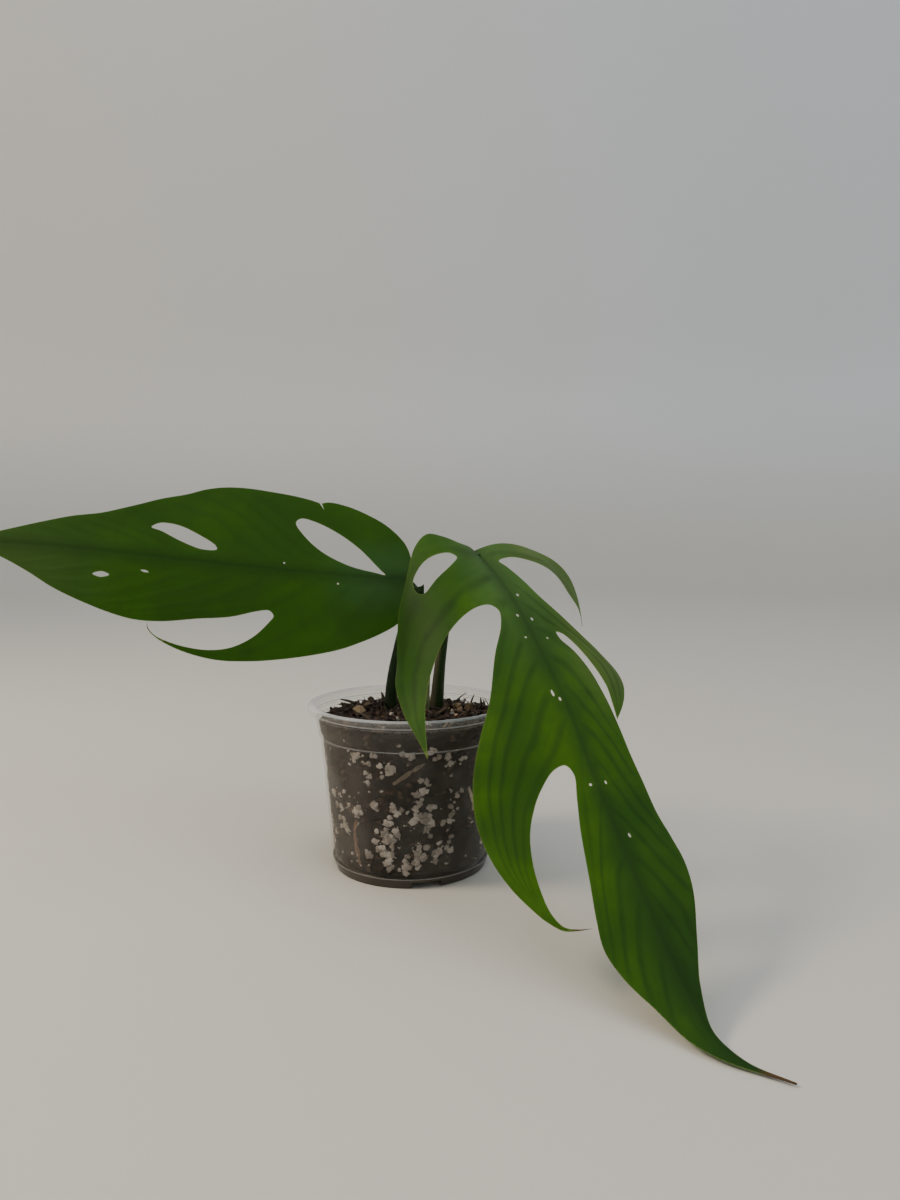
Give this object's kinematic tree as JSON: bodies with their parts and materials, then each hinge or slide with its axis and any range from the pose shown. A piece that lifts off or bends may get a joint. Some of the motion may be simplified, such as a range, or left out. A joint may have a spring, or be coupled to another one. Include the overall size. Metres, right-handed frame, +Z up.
{
  "type": "potted baltic blue pothos",
  "caption": "Young split-leaved pothos in a clear nursery pot, one leaf held out to the side and one drooping to the table.",
  "frame": {"origin": "centre of the pot's foot, on the surface that it stands on", "axes": "+Z up; -Y is the front; the left leaf points to -X and the drooping leaf to +X and -Y"},
  "size_m": [0.3824, 0.2796, 0.2215],
  "materials": {
    "pot": "clear, slightly smoky thin moulded plastic",
    "potting_mix": "damp dark bark and fibre with white perlite grains",
    "stem": "dull green with brown nodes",
    "root": "pale brown, finely rough",
    "leaf_left": "satin dark green leaf",
    "leaf_right": "satin yellow-green leaf with darker veins",
    "old_sheath": "dry papery straw green"
  },
  "bodies": {
    "root": {"pot": "pot", "potting_mix": "potting_mix", "stem": "stem", "root_left": "root", "root_middle": "root", "root_right": "root", "leaf_left": "leaf_left", "leaf_right": "leaf_right", "old_sheath": "old_sheath"}
  },
  "joints": []
}
